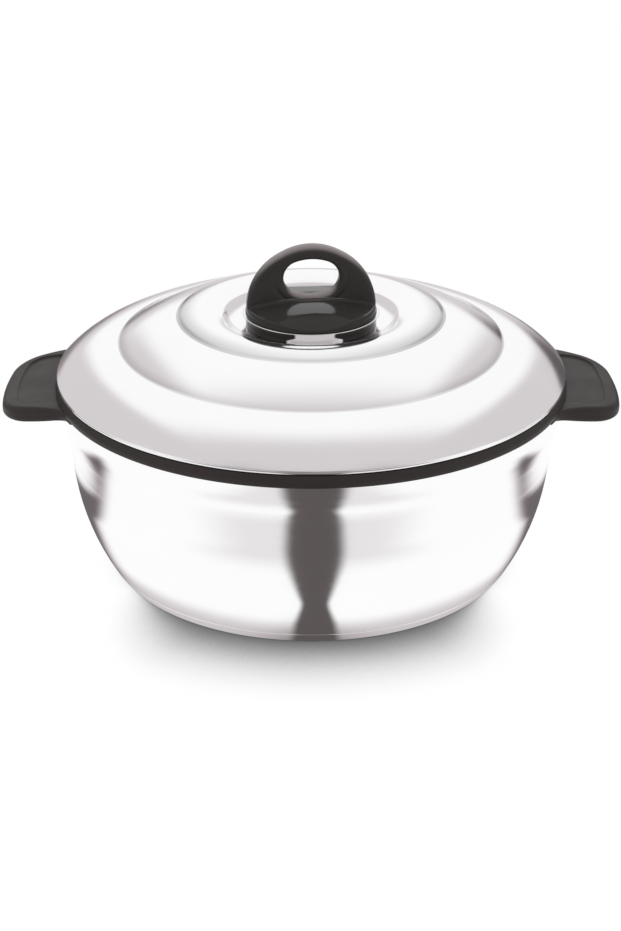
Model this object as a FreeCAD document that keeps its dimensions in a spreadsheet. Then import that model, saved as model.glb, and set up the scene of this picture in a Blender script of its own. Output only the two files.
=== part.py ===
import FreeCAD, Part
import math
import os
import re
import Sketcher

# Insulated serving casserole: a double-walled steel bowl filled with foam, a black collar with two
# grips moulded on it, and a lift-off stepped lid with a black finger-loop knob on a chrome cup.
# Millimetres, +Z up, grips along X, origin at the middle of the face it stands on.

SIZES = {
    # steel sheet and the gap between the lid and the bowl
    "steel_sheet": 0.6,
    "seat_gap": 0.3,
    # the lid's rim, from which every other radius steps inwards
    "rim_radius": 135.0,
    # outer bowl, from the collar down to the seam above its foot
    "neck_inset": 0.6,
    "neck_radius": "=rim_radius - neck_inset",
    "waist_inset": 6.4,
    "waist_radius": "=neck_radius - waist_inset",
    "seam_inset": 16.0,
    "seam_radius": "=waist_radius - seam_inset",
    "seam_height": 6.0,
    "belly_height": 54.0,
    "waist_height": "=seam_height + belly_height",
    "flare_height": 38.6,
    "neck_height": "=waist_height + flare_height",
    "belly_bend": 134.0,
    "flare_bend": 230.0,
    "neck_lip": 3.0,
    # base cap and the plugs of the two foam filling holes
    "foot_inset": 4.3,
    "foot_radius": "=seam_radius - foot_inset",
    "foot_face": 7.7,
    "foot_bend": 28.0,
    "cap_rise": 3.0,
    "cap_slope": 3.0,
    "plug_radius": 9.0,
    "plug_brim": 3.0,
    "plug_head": 1.4,
    "plug_stem": 4.0,
    # collar
    "collar_height": 6.4,
    "seat_height": "=neck_height + collar_height",
    "collar_wall": 1.4,
    "collar_edge": 1.0,
    "collar_shoulder": 3.6,
    "collar_slope": 1.2,
    # inner bowl
    "wall_gap": 15.4,
    "mouth_radius": "=neck_radius - wall_gap",
    "mouth_bend": 2.0,
    "liner_brim": 8.0,
    "heel_inset": 5.5,
    "heel_radius": "=mouth_radius - heel_inset",
    "floor_inset": 33.5,
    "floor_radius": "=heel_radius - floor_inset",
    "floor_height": 14.0,
    "heel_rise": 32.0,
    "heel_height": "=floor_height + heel_rise",
    "heel_bend": 34.5,
    # grips, drawn for the one on +X; their roots stay just inside the collar's wall
    "grip_length": 28.9,
    "grip_reach": "=rim_radius + grip_length",
    "grip_neck_width": 46.1,
    "grip_taper": 12.5,
    "grip_end_width": "=grip_neck_width - grip_taper",
    "grip_flare_width": 9.5,
    "grip_root_width": "=grip_neck_width + grip_flare_width",
    "grip_root_cover": 0.3,
    "grip_root": "=sqrt((neck_radius + collar_wall - grip_root_cover) ^ 2 - grip_root_width ^ 2)",
    "grip_flare_run": 4.03,
    "grip_neck": "=grip_root + grip_flare_run",
    "grip_heel_run": 5.57,
    "grip_heel": "=grip_root - grip_heel_run",
    "grip_heel_taper": 2.33,
    "grip_heel_width": "=grip_root_width - grip_heel_taper",
    "grip_flare_bend": 18.0,
    "grip_corner_bend": 22.7,
    "grip_top_drop": 5.2,
    "grip_top_height": "=seat_height - grip_top_drop",
    "grip_droop": 4.9,
    "grip_tip_height": "=grip_top_height - grip_droop",
    "grip_top_bend": 123.0,
    "grip_heel_thickness": 2.1,
    "grip_under_height": "=grip_top_height - grip_heel_thickness",
    "grip_tip_thickness": 6.4,
    "grip_under_bend": 178.0,
    "grip_edge": 1.6,
    "panel_side": 0.6,
    "panel_half_width": "=grip_end_width - panel_side",
    "panel_margin": 7.8,
    "panel_depth": 0.6,
    "panel_corner": 12.0,
    # chrome cup, and the recess in the lid that it stands in
    "cup_radius": 34.5,
    "cup_height": 6.0,
    "cup_lip": 1.7,
    "recess_margin": 3.7,
    "recess_floor_radius": "=cup_radius + recess_margin",
    "recess_run": 7.8,
    "recess_radius": "=recess_floor_radius + recess_run",
    # lid
    "rim_lip": 1.3,
    "outer_tier_run": 33.4,
    "outer_crease_radius": "=rim_radius - outer_tier_run",
    "outer_tier_rise": 18.1,
    "outer_crease_height": "=seat_height + seat_gap + outer_tier_rise",
    "outer_tier_bend": 51.0,
    "middle_tier_run": 31.5,
    "inner_crease_radius": "=outer_crease_radius - middle_tier_run",
    "middle_tier_rise": 13.5,
    "inner_crease_height": "=outer_crease_height + middle_tier_rise",
    "middle_tier_bend": 94.0,
    "top_tier_bend": 29.6,
    "recess_edge_drop": 0.1,
    "recess_height": "=inner_crease_height - recess_edge_drop",
    "recess_bend": 14.0,
    "recess_depth": 5.0,
    "recess_floor_height": "=recess_height - recess_depth",
    "lid_turn": 5.0,
    "pan_gap": 1.8,
    "pan_radius": "=mouth_radius - pan_gap",
    "pan_drop": 8.0,
    "pan_bend": 4.0,
    "pan_brim": 12.0,
    "rim_ring_height": 2.5,
    "rim_ring_edge": 0.9,
    "rim_ring_slope": 3.0,
    "gasket_inset": 2.0,
    "gasket_radius": "=mouth_radius + gasket_inset",
    "gasket_width": 4.0,
    "gasket_height": 1.4,
    # knob
    "knob_slack": 0.2,
    "knob_overlap": 0.1,
    "knob_radius": "=cup_radius + knob_overlap",
    "knob_edge": 2.6,
    "knob_edge_bevel": 1.0,
    "knob_dome": 7.4,
    "knob_dome_bend": 150.0,
    "knob_wall": 5.0,
    "knob_hollow_radius": "=cup_radius - knob_wall",
    "knob_hollow_depth": 5.4,
    "loop_inset": 0.5,
    "loop_foot": "=knob_radius - loop_inset",
    "loop_foot_height": 4.4,
    "loop_side_run": 18.6,
    "loop_shoulder": "=loop_foot - loop_side_run",
    "loop_shoulder_height": 32.4,
    "loop_side_bend": 34.2,
    "loop_bend": "=2 * loop_shoulder",
    "loop_thickness": 9.5,
    "loop_round": 3.0,
    "finger_half_width": 14.6,
    "finger_half_height": 10.1,
    "finger_end_bend": 9.2,
    "finger_height": 19.2,
    "finger_round": 2.2,
    "thumb_run": 14.0,
    "thumb_start": "=knob_radius - thumb_run",
    "thumb_start_height": 5.95,
    "thumb_end_height": 1.5,
    # knob fasteners
    "screw_offset": 12.0,
    "screw_radius": 2.0,
    "screw_head_radius": 3.8,
    "screw_head_height": 2.6,
    "screw_clearance": 0.2,
    "washer_radius": 5.0,
    "washer_thickness": 0.8,
    "thread_slack": 0.05,
    "boss_radius": 5.2,
    "insert_radius": 3.1,
    "insert_relief": 0.8,
    "bore_cover": 0.2,
    "insert_length": "=cup_height + knob_edge - bore_cover - insert_relief",
    "pocket_slack": 0.3,
}

doc = FreeCAD.newDocument("casserole")
sheet = doc.addObject("Spreadsheet::Sheet", "Sizes")
for row, (word, value) in enumerate(SIZES.items(), start=1):
    sheet.set("A%d" % row, str(value))
    sheet.setAlias("A%d" % row, word)
doc.recompute()

# heights and radii that several pieces share
LID_BASE = "seat_height + seat_gap"
CAP_FLOOR = "(cap_rise + steel_sheet)"
RING_TOP = "(seat_height + seat_gap + rim_ring_height)"
PAN_FLOOR = "(seat_height - pan_drop)"
SHELL_FLOOR = "(recess_floor_height - steel_sheet)"
CUP_FLOOR = "(recess_floor_height + steel_sheet)"
KNOB_SEAT = "(recess_floor_height + cup_height + steel_sheet)"
LINER_FLANGE = "(mouth_radius + liner_brim)"
COLLAR_BORE = "(mouth_radius + mouth_bend)"
COLLAR_RADIUS = "(neck_radius + collar_wall)"
GRIP_FAR = "sqrt(grip_reach ^ 2 - grip_end_width ^ 2)"
PANEL_FAR = "sqrt((grip_reach - panel_margin) ^ 2 - panel_half_width ^ 2)"


def cells(text):
    """An expression with each size in it spelled as a cell of the sheet."""
    def spelled(match):
        word = match.group(0)
        return "Sizes." + word if word in SIZES else word

    return re.sub(r"[a-z_]+", spelled, text)


def number(text):
    """What an expression of sizes comes to."""
    return float(sheet.evalExpression(text))


def bind(thing, **places):
    """Tie properties to expressions; a double underscore stands for the dot in a property's path."""
    for path, text in places.items():
        thing.setExpression(path.replace("__", "."), cells(text))


# ---------------------------------------------------------------- sketches


def edge_between(start, end, turn, radius):
    """A line, or the short arc that turns left or right on its way, and which of its ends comes first."""
    if turn is None:
        return Part.LineSegment(start, end), 1, 2
    half = (end - start) * 0.5
    reach = math.sqrt(radius**2 - half.Length**2)
    side = FreeCAD.Vector(-half.y, half.x, 0).normalize() * reach
    centre = start + half + side if turn == "left" else start + half - side
    first, last = (start, end) if turn == "left" else (end, start)
    angles = [math.atan2(p.y - centre.y, p.x - centre.x) for p in (first, last)]
    if angles[1] < angles[0]:
        angles[1] += 2 * math.pi
    arc = Part.ArcOfCircle(Part.Circle(centre, FreeCAD.Vector(0, 0, 1), radius), *angles)
    return (arc, 1, 2) if turn == "left" else (arc, 2, 1)


def pin_point(sketch, geometry, end, across, up):
    """Hold one point of a sketch at the two expressions given."""
    for kind, text, axis in (("DistanceX", across, -2), ("DistanceY", up, -1)):
        if text == "0":
            sketch.addConstraint(Sketcher.Constraint("PointOnObject", geometry, end, axis))
        else:
            held = sketch.addConstraint(Sketcher.Constraint(kind, -1, 1, geometry, end, number(text)))
            sketch.setExpression("Constraints[%d]" % held, cells(text))


def new_sketch(body, name, plane):
    sketch = body.newObject("Sketcher::SketchObject", name)
    face = [f for f in body.Origin.OriginFeatures if f.Role == plane][0]
    sketch.AttachmentSupport = [(face, "")]
    sketch.MapMode = "FlatFace"
    return sketch


def draw(body, name, plane, outline):
    """A closed outline of corners (across, up), or (across, up, turn, radius) where an arc leaves one."""
    sketch = new_sketch(body, name, plane)
    corners = [FreeCAD.Vector(number(c[0]), number(c[1]), 0) for c in outline]
    ends = []
    for i, corner in enumerate(outline):
        turn, radius = corner[2:] if len(corner) > 2 else (None, "0")
        edge, first, last = edge_between(corners[i], corners[(i + 1) % len(corners)], turn, number(radius))
        ends.append((sketch.addGeometry(edge), first, last))
    for i, corner in enumerate(outline):
        geometry, first, _ = ends[i]
        before, _, last = ends[i - 1]
        sketch.addConstraint(Sketcher.Constraint("Coincident", before, last, geometry, first))
        pin_point(sketch, geometry, first, corner[0], corner[1])
        if len(corner) > 2:
            bent = sketch.addConstraint(Sketcher.Constraint("Radius", geometry, number(corner[3])))
            sketch.setExpression("Constraints[%d]" % bent, cells(corner[3]))
    return sketch


def draw_circles(body, name, height, circles):
    """Circles (across, radius) centred on the X axis, in a plane at the height given."""
    sketch = new_sketch(body, name, "XY_Plane")
    bind(sketch, AttachmentOffset__Base__z=height)
    for across, radius in circles:
        centre = FreeCAD.Vector(number(across), 0, 0)
        ring = sketch.addGeometry(Part.Circle(centre, FreeCAD.Vector(0, 0, 1), number(radius)))
        pin_point(sketch, ring, 3, across, "0")
        size = sketch.addConstraint(Sketcher.Constraint("Radius", ring, number(radius)))
        sketch.setExpression("Constraints[%d]" % size, cells(radius))
    return sketch


# ---------------------------------------------------------------- features


def new_body(name):
    return doc.addObject("PartDesign::Body", name)


def revolve(body, outline):
    """Turn a section, drawn as radius and height, about the vertical axis."""
    turned = body.newObject("PartDesign::Revolution", body.Name + "_turned")
    turned.Profile = draw(body, body.Name + "_section", "XZ_Plane", outline)
    turned.ReferenceAxis = (turned.Profile[0], ["V_Axis"])
    turned.Angle = 360
    doc.recompute()
    return body


def pad(body, name, sketch, length):
    """Raise a sketch to both sides of its plane."""
    raised = body.newObject("PartDesign::Pad", name)
    raised.Profile = sketch
    raised.SideType = "Symmetric"
    bind(raised, Length=length)
    doc.recompute()
    return raised


def pocket(body, name, sketch, depth, upward=False, through=False):
    """Cut a sketch into the body and make sure that it took something away."""
    before = body.Shape.Volume
    cut = body.newObject("PartDesign::Pocket", name)
    cut.Profile = sketch
    cut.Reversed = upward
    if through:
        cut.SideType = "Symmetric"
    bind(cut, Length=depth)
    doc.recompute()
    if body.Shape.Volume >= before:
        raise RuntimeError(name + " cuts nothing")
    return cut


def fillet(body, name, radius, wanted):
    """Round the edges of the body's last feature that the test picks."""
    base = body.Tip
    names = ["Edge%d" % i for i, edge in enumerate(base.Shape.Edges, start=1) if wanted(edge)]
    rounded = body.newObject("PartDesign::Fillet", name)
    rounded.Base = (base, names)
    bind(rounded, Radius=radius)
    doc.recompute()
    return rounded


def turn_with_lid(thing):
    """The round lid may sit at any angle, and its knob and holes turn with it."""
    bind(thing, Placement__Rotation__Angle="lid_turn")


# ---------------------------------------------------------------- bowl

BELLY_OUTSIDE = [
    ("seam_radius", "seam_height", "left", "belly_bend"),
    ("waist_radius", "waist_height", "right", "flare_bend"),
]
BELLY_INSIDE = [
    ("neck_radius - steel_sheet", "neck_height", "left", "flare_bend"),
    ("waist_radius - steel_sheet", "waist_height", "right", "belly_bend"),
    ("seam_radius - steel_sheet / 2", "seam_height + steel_sheet"),
]
LINER_OUTSIDE = [
    ("floor_radius", "floor_height", "left", "heel_bend"),
    ("heel_radius + steel_sheet", "heel_height"),
]
CAP_INNER = "(foot_radius - foot_face - cap_slope)"


def reverse(outline):
    """The same line walked the other way, so its arcs turn the other way too."""
    swap = {"left": "right", "right": "left"}
    corners = []
    for i in range(len(outline) - 1, -1, -1):
        bend = outline[i - 1][2:] if i > 0 else ()
        corners.append(outline[i][:2] + ((swap[bend[0]], bend[1]) if bend else ()))
    return corners


def make_outer_bowl():
    """Drawn outer wall with a lip held in the collar and a flange turned in over the base cap."""
    return revolve(new_body("outer_bowl"), [
        (CAP_INNER, "seam_height"),
        *BELLY_OUTSIDE,
        ("neck_radius", "neck_height"),
        ("neck_radius", "neck_height + neck_lip"),
        ("neck_radius - steel_sheet", "neck_height + neck_lip"),
        *BELLY_INSIDE,
        (CAP_INNER, "seam_height + steel_sheet"),
    ])


def make_inner_bowl():
    """Food bowl with a rounded mouth and a flat brim that lies in the collar's rebate."""
    return revolve(new_body("inner_bowl"), [
        ("0", "floor_height"),
        *LINER_OUTSIDE,
        ("mouth_radius + steel_sheet", "seat_height - mouth_bend", "right", "mouth_bend - steel_sheet"),
        (COLLAR_BORE, "seat_height - steel_sheet"),
        (LINER_FLANGE, "seat_height - steel_sheet"),
        (LINER_FLANGE, "seat_height"),
        (COLLAR_BORE, "seat_height", "left", "mouth_bend"),
        ("mouth_radius", "seat_height - mouth_bend"),
        ("heel_radius", "heel_height", "right", "heel_bend - steel_sheet"),
        ("floor_radius", "floor_height + steel_sheet"),
        ("0", "floor_height + steel_sheet"),
    ])


def make_bowl_foam():
    """Foam between the two bowls, up to the collar, with a pocket for the plug."""
    run = "(neck_height - heel_height) / (seat_height - mouth_bend - heel_height)"
    liner_at_neck = "heel_radius + steel_sheet + (mouth_radius - heel_radius) * " + run
    return revolve(new_body("bowl_foam"), [
        ("0", "cap_rise + plug_stem"),
        ("plug_radius", "cap_rise + plug_stem"),
        ("plug_radius", CAP_FLOOR),
        (CAP_INNER, CAP_FLOOR),
        (CAP_INNER, "seam_height + steel_sheet"),
        *reverse(BELLY_INSIDE),
        (liner_at_neck, "neck_height"),
        *reverse(LINER_OUTSIDE),
        ("0", "floor_height"),
    ])


def make_base_cap():
    """Pressed steel foot: a flat ring to stand on round a raised floor with the filling hole."""
    return revolve(new_body("base_cap"), [
        ("plug_radius", "cap_rise"),
        (CAP_INNER, "cap_rise"),
        ("foot_radius - foot_face", "0"),
        ("foot_radius", "0", "left", "foot_bend"),
        ("seam_radius", "seam_height"),
        ("seam_radius - steel_sheet", "seam_height", "right", "foot_bend"),
        ("foot_radius - steel_sheet / 2", "steel_sheet"),
        ("foot_radius - foot_face + steel_sheet / 2", "steel_sheet"),
        (CAP_INNER + " + steel_sheet / 2", CAP_FLOOR),
        ("plug_radius", CAP_FLOOR),
    ])


def make_plug(name, floor):
    """Push-in plug of a foam filling hole, its brim under the sheet whose lower face is at floor."""
    return revolve(new_body(name), [
        ("0", floor + " - plug_head"),
        ("plug_radius + plug_brim", floor + " - plug_head"),
        ("plug_radius + plug_brim", floor),
        ("plug_radius", floor),
        ("plug_radius", floor + " + plug_stem"),
        ("0", floor + " + plug_stem"),
    ])


# ---------------------------------------------------------------- collar and grips


def make_collar_ring():
    """Ring that clamps the outer bowl's lip in a groove and carries the inner bowl's brim."""
    return revolve(new_body("collar_ring"), [
        (COLLAR_BORE, "neck_height"),
        ("neck_radius - steel_sheet", "neck_height"),
        ("neck_radius - steel_sheet", "neck_height + neck_lip"),
        ("neck_radius", "neck_height + neck_lip"),
        ("neck_radius", "neck_height"),
        (COLLAR_RADIUS + " - collar_edge / 2", "neck_height"),
        (COLLAR_RADIUS, "neck_height + collar_edge"),
        (COLLAR_RADIUS, "seat_height - collar_shoulder"),
        (COLLAR_RADIUS + " - collar_slope", "seat_height"),
        (LINER_FLANGE, "seat_height"),
        (LINER_FLANGE, "seat_height - steel_sheet"),
        (COLLAR_BORE, "seat_height - steel_sheet"),
    ])


def draw_grip_plan(body):
    """Seen from above: a root inside the ring, sides that close in slightly, and a curved end."""
    return draw(body, "grip_plan", "XY_Plane", [
        ("grip_heel", "-grip_heel_width"),
        ("grip_root", "-grip_root_width"),
        ("grip_neck", "-grip_neck_width"),
        (GRIP_FAR, "-grip_end_width", "left", "grip_reach"),
        (GRIP_FAR, "grip_end_width"),
        ("grip_neck", "grip_neck_width"),
        ("grip_root", "grip_root_width"),
        ("grip_heel", "grip_heel_width"),
    ])


def draw_grip_side(body):
    """Seen from the front: a top that droops outwards and an underside that sweeps down to the tip."""
    return draw(body, "grip_side", "XZ_Plane", [
        ("grip_heel", "grip_under_height", "left", "grip_under_bend"),
        ("grip_reach + 1", "grip_tip_height - grip_tip_thickness"),
        ("grip_reach + 1", "grip_tip_height", "left", "grip_top_bend"),
        ("grip_heel", "grip_top_height"),
    ])


def draw_panel_plan(body):
    """The sunk panel runs out from the ring, straight-sided, to one margin from the grip's end."""
    return draw(body, "panel_plan", "XY_Plane", [
        ("grip_root", "-panel_half_width"),
        (PANEL_FAR, "-panel_half_width", "left", "grip_reach - panel_margin"),
        (PANEL_FAR, "panel_half_width"),
        ("grip_root", "panel_half_width"),
    ])


def draw_panel_side(body):
    """Everything above a line that runs one panel depth under the grip's top."""
    return draw(body, "panel_side", "XZ_Plane", [
        ("grip_heel", "grip_top_height - panel_depth", "right", "grip_top_bend"),
        ("grip_reach + 1", "grip_tip_height - panel_depth"),
        ("grip_reach + 1", "seat_height"),
        ("grip_heel", "seat_height"),
    ])


def common(name, *things):
    both = doc.addObject("Part::MultiCommon", name)
    both.Shapes = list(things)
    doc.recompute()
    return both


def cut(name, base, tool):
    left = doc.addObject("Part::Cut", name)
    left.Base = base
    left.Tool = tool
    doc.recompute()
    return left


def prism(name, draw_it, length):
    """A body padded both ways from one outline."""
    body = new_body(name)
    pad(body, name + "_pad", draw_it(body), length)
    return body


def upright_near(across):
    """Test for the vertical edges that stand at one distance out along the grip."""
    return lambda edge: edge.BoundBox.XLength + edge.BoundBox.YLength < 0.01 and \
        abs(edge.CenterOfMass.x - number(across)) < 0.01


def make_grip():
    """The grip on +X, with rounded corners, a sunk panel on top and its inner end open to the ring."""
    tall = "2 * seat_height"
    wide = "2 * grip_root_width + 2"
    plan = prism("grip_plan_block", draw_grip_plan, tall)
    fillet(plan, "grip_flared", "grip_flare_bend", upright_near("grip_neck"))
    fillet(plan, "grip_cornered", "grip_corner_bend", upright_near(GRIP_FAR))
    blank = common("grip_blank", plan, prism("grip_side_block", draw_grip_side, wide))
    rounded = doc.addObject("Part::Fillet", "grip_rounded")
    rounded.Base = blank
    radius = number("grip_edge")
    outside = number("grip_root + grip_edge")

    def level_and_outside(edge):
        return edge.BoundBox.XLength + edge.BoundBox.YLength > radius and edge.BoundBox.XMax > outside

    rounded.Edges = [
        (i, radius, radius) for i, edge in enumerate(blank.Shape.Edges, start=1) if level_and_outside(edge)
    ]
    doc.recompute()
    recess = prism("panel_plan_block", draw_panel_plan, tall)
    fillet(recess, "panel_cornered", "panel_corner", upright_near(PANEL_FAR))
    panel = common("grip_panel", recess, prism("panel_side_block", draw_panel_side, wide))
    sunk = cut("grip_sunk", rounded, panel)
    core = doc.addObject("Part::Cylinder", "collar_core")
    bind(core, Radius="neck_radius", Height=tall)
    doc.recompute()
    return cut("grip_right", sunk, core)


def make_rim_collar():
    """The ring and both grips in one moulding."""
    ring = make_collar_ring()
    right = make_grip()
    left = doc.addObject("Part::Mirroring", "grip_left")
    left.Source = right
    left.Normal = FreeCAD.Vector(1, 0, 0)
    doc.recompute()
    collar = doc.addObject("Part::MultiFuse", "rim_collar")
    collar.Shapes = [ring, right, left]
    collar.Refine = True
    doc.recompute()
    return collar


# ---------------------------------------------------------------- lid


def tiers(drop):
    """The lid's section from the outer crease inwards to the flat floor of its recess, lowered by drop."""
    return [
        ("outer_crease_radius", "outer_crease_height" + drop, "left", "middle_tier_bend"),
        ("inner_crease_radius", "inner_crease_height" + drop, "left", "top_tier_bend"),
        ("recess_radius", "recess_height" + drop, "right", "recess_bend"),
        ("recess_floor_radius", "recess_floor_height" + drop),
        ("0", "recess_floor_height" + drop),
    ]


SHELL_TOP = [("rim_radius", LID_BASE + " + rim_lip", "left", "outer_tier_bend")] + tiers("")
SHELL_UNDER = [("rim_radius - steel_sheet", LID_BASE + " + rim_lip", "left", "outer_tier_bend")]
SHELL_UNDER = SHELL_UNDER + tiers(" - steel_sheet")
SCREW_CENTRES = ("screw_offset", "-screw_offset")


def make_lid_outer_shell():
    """Spun cover in three cushioned steps with a recess for the knob; its sheet is even along the axis."""
    body = revolve(new_body("lid_outer_shell"), [
        ("rim_radius - steel_sheet", LID_BASE),
        ("rim_radius", LID_BASE),
        *SHELL_TOP,
        *reverse(SHELL_UNDER),
    ])
    holes = [(x, "screw_radius + screw_clearance") for x in SCREW_CENTRES]
    sketch = draw_circles(body, "shell_holes", "recess_floor_height", holes)
    pocket(body, "shell_drilled", sketch, "2 * steel_sheet")
    turn_with_lid(body)
    return body


def make_lid_rim_ring():
    """Plastic ring that closes the lid's edge and holds the gasket, just above the collar."""
    return revolve(new_body("lid_rim_ring"), [
        ("pan_radius", LID_BASE),
        ("gasket_radius", LID_BASE),
        ("gasket_radius", LID_BASE + " + gasket_height"),
        ("gasket_radius + gasket_width", LID_BASE + " + gasket_height"),
        ("gasket_radius + gasket_width", LID_BASE),
        ("rim_radius - steel_sheet", LID_BASE),
        ("rim_radius - steel_sheet", LID_BASE + " + rim_ring_edge"),
        ("rim_radius - steel_sheet - rim_ring_slope", RING_TOP),
        ("pan_radius", RING_TOP),
    ])


def make_lid_gasket():
    """Silicone ring in the rim ring's groove, facing the inner bowl's brim."""
    return revolve(new_body("lid_gasket"), [
        ("gasket_radius", LID_BASE),
        ("gasket_radius + gasket_width", LID_BASE),
        ("gasket_radius + gasket_width", LID_BASE + " + gasket_height"),
        ("gasket_radius", LID_BASE + " + gasket_height"),
    ])


def make_lid_inner_shell():
    """Flat pan under the lid that drops into the bowl's mouth and hangs by its brim from the ring."""
    return revolve(new_body("lid_inner_shell"), [
        ("plug_radius", PAN_FLOOR),
        ("pan_radius - pan_bend", PAN_FLOOR, "left", "pan_bend"),
        ("pan_radius", PAN_FLOOR + " + pan_bend"),
        ("pan_radius", RING_TOP),
        ("pan_radius + pan_brim", RING_TOP),
        ("pan_radius + pan_brim", RING_TOP + " + steel_sheet"),
        ("pan_radius - steel_sheet", RING_TOP + " + steel_sheet"),
        ("pan_radius - steel_sheet", PAN_FLOOR + " + pan_bend", "right", "pan_bend - steel_sheet"),
        ("pan_radius - pan_bend", PAN_FLOOR + " + steel_sheet"),
        ("plug_radius", PAN_FLOOR + " + steel_sheet"),
    ])


def make_lid_foam():
    """Foam that fills the lid, with pockets for its plug and for the screw heads under the cover."""
    body = revolve(new_body("lid_foam"), [
        ("0", PAN_FLOOR + " + plug_stem"),
        ("plug_radius", PAN_FLOOR + " + plug_stem"),
        ("plug_radius", PAN_FLOOR + " + steel_sheet"),
        ("pan_radius - pan_bend", PAN_FLOOR + " + steel_sheet", "left", "pan_bend - steel_sheet"),
        ("pan_radius - steel_sheet", PAN_FLOOR + " + pan_bend"),
        ("pan_radius - steel_sheet", RING_TOP + " + steel_sheet"),
        ("pan_radius + pan_brim", RING_TOP + " + steel_sheet"),
        ("pan_radius + pan_brim", RING_TOP),
        ("rim_radius - steel_sheet - rim_ring_slope", RING_TOP),
        ("rim_radius - steel_sheet", LID_BASE + " + rim_ring_edge"),
        *SHELL_UNDER,
    ])
    pockets = [(x, "washer_radius + pocket_slack") for x in SCREW_CENTRES]
    sketch = draw_circles(body, "screw_pockets", SHELL_FLOOR, pockets)
    pocket(body, "foam_pocketed", sketch, "washer_thickness + screw_head_height + pocket_slack")
    turn_with_lid(body)
    return body


# ---------------------------------------------------------------- knob


def make_knob_base_ring():
    """Chrome cup with a turned-out lip, screwed down in the lid's recess under the knob."""
    body = revolve(new_body("knob_base_ring"), [
        ("0", "recess_floor_height"),
        ("cup_radius", "recess_floor_height"),
        ("cup_radius", "recess_floor_height + cup_height"),
        ("cup_radius + cup_lip", "recess_floor_height + cup_height"),
        ("cup_radius + cup_lip", KNOB_SEAT),
        ("cup_radius - steel_sheet", KNOB_SEAT),
        ("cup_radius - steel_sheet", CUP_FLOOR),
        ("0", CUP_FLOOR),
    ])
    holes = [(x, "screw_radius + screw_clearance") for x in SCREW_CENTRES]
    sketch = draw_circles(body, "cup_holes", CUP_FLOOR, holes)
    pocket(body, "cup_drilled", sketch, "2 * steel_sheet")
    turn_with_lid(body)
    return body


def draw_loop(body):
    """The finger loop's outline from the front, over the knob's domed base."""
    top = KNOB_SEAT + " + "
    return draw(body, "loop_outline", "XZ_Plane", [
        ("loop_foot", top + "knob_edge"),
        ("loop_foot", top + "loop_foot_height", "left", "loop_side_bend"),
        ("loop_shoulder", top + "loop_shoulder_height", "left", "loop_bend"),
        ("-loop_shoulder", top + "loop_shoulder_height", "left", "loop_side_bend"),
        ("-loop_foot", top + "loop_foot_height"),
        ("-loop_foot", top + "knob_edge"),
    ])


def draw_finger_hole(body):
    """An oval of four arcs that meet smoothly: two end arcs and a flatter one above and below."""
    inset = "(finger_half_width - finger_end_bend)"
    excess = "(finger_half_height - finger_end_bend)"
    drop = "((%s ^ 2 - %s ^ 2) / (2 * %s))" % (inset, excess, excess)
    flat_bend = "(finger_half_height + %s)" % drop
    share = "(%s / (%s - finger_end_bend))" % (flat_bend, flat_bend)
    across = "(%s * %s)" % (inset, share)
    away = "(%s * %s - %s)" % (drop, share, drop)
    centre = KNOB_SEAT + " + finger_height"
    return draw(body, "finger_hole", "XZ_Plane", [
        (across, centre + " - " + away, "left", "finger_end_bend"),
        (across, centre + " + " + away, "left", flat_bend),
        ("-" + across, centre + " + " + away, "left", "finger_end_bend"),
        ("-" + across, centre + " - " + away, "left", flat_bend),
    ])


def draw_thumb_flat(body, side):
    """A wedge over the slope that flattens the dome in front of the loop, or behind it."""
    sign = "-" if side == "front" else ""
    far = "(knob_radius + 1)"
    slope = "(thumb_start_height - thumb_end_height) / thumb_run"
    foot = KNOB_SEAT + " + thumb_end_height - " + slope
    outline = [
        (sign + "thumb_start", KNOB_SEAT + " + thumb_start_height"),
        (sign + far, foot),
        (sign + far, KNOB_SEAT + " + thumb_start_height"),
    ]
    return draw(body, "thumb_" + side, "YZ_Plane", outline)


def make_knob_base():
    """Domed disc with thumb flats that stands in the cup, hollow below except round the screw bosses."""
    inside_cup = "cup_radius - steel_sheet - knob_slack"
    body = revolve(new_body("knob_base"), [
        ("0", CUP_FLOOR),
        (inside_cup, CUP_FLOOR),
        (inside_cup, KNOB_SEAT),
        ("knob_radius", KNOB_SEAT),
        ("knob_radius", KNOB_SEAT + " + knob_edge"),
        ("knob_radius - knob_edge_bevel", KNOB_SEAT + " + knob_edge + knob_edge_bevel", "left",
         "knob_dome_bend"),
        ("0", KNOB_SEAT + " + knob_dome"),
    ])
    for side in ("front", "back"):
        pocket(body, "thumb_flat_" + side, draw_thumb_flat(body, side), "4 * knob_radius", through=True)
    islands = [("0", "knob_hollow_radius")] + [(x, "boss_radius") for x in SCREW_CENTRES]
    pocket(body, "knob_hollow", draw_circles(body, "hollow_plan", CUP_FLOOR, islands),
           "knob_hollow_depth", upward=True)
    bores = [(x, "insert_radius") for x in SCREW_CENTRES]
    pocket(body, "knob_bores", draw_circles(body, "bore_plan", CUP_FLOOR, bores),
           "insert_length + insert_relief", upward=True)
    return body


def make_knob_loop():
    """Upright loop with soft edges and a flared oval finger hole; its foot is sunk in the dome."""
    body = new_body("knob_loop")
    pad(body, "loop", draw_loop(body), "loop_thickness")
    pocket(body, "finger_opening", draw_finger_hole(body), "2 * loop_thickness", through=True)
    face = number("loop_thickness / 2")
    height = number(KNOB_SEAT + " + finger_height")

    def on_face(edge):
        return abs(abs(edge.CenterOfMass.y) - face) < 0.01 and edge.Curve.TypeId == "Part::GeomCircle"

    def round_hole(edge):
        middle = edge.CenterOfMass
        beside = abs(middle.x) < number("finger_half_width")
        return on_face(edge) and beside and abs(middle.z - height) < number("finger_half_height")

    def round_outside(edge):
        return on_face(edge) and not round_hole(edge)

    fillet(body, "loop_rounded", "loop_round", round_outside)
    fillet(body, "finger_rounded", "finger_round", round_hole)
    return body


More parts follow.
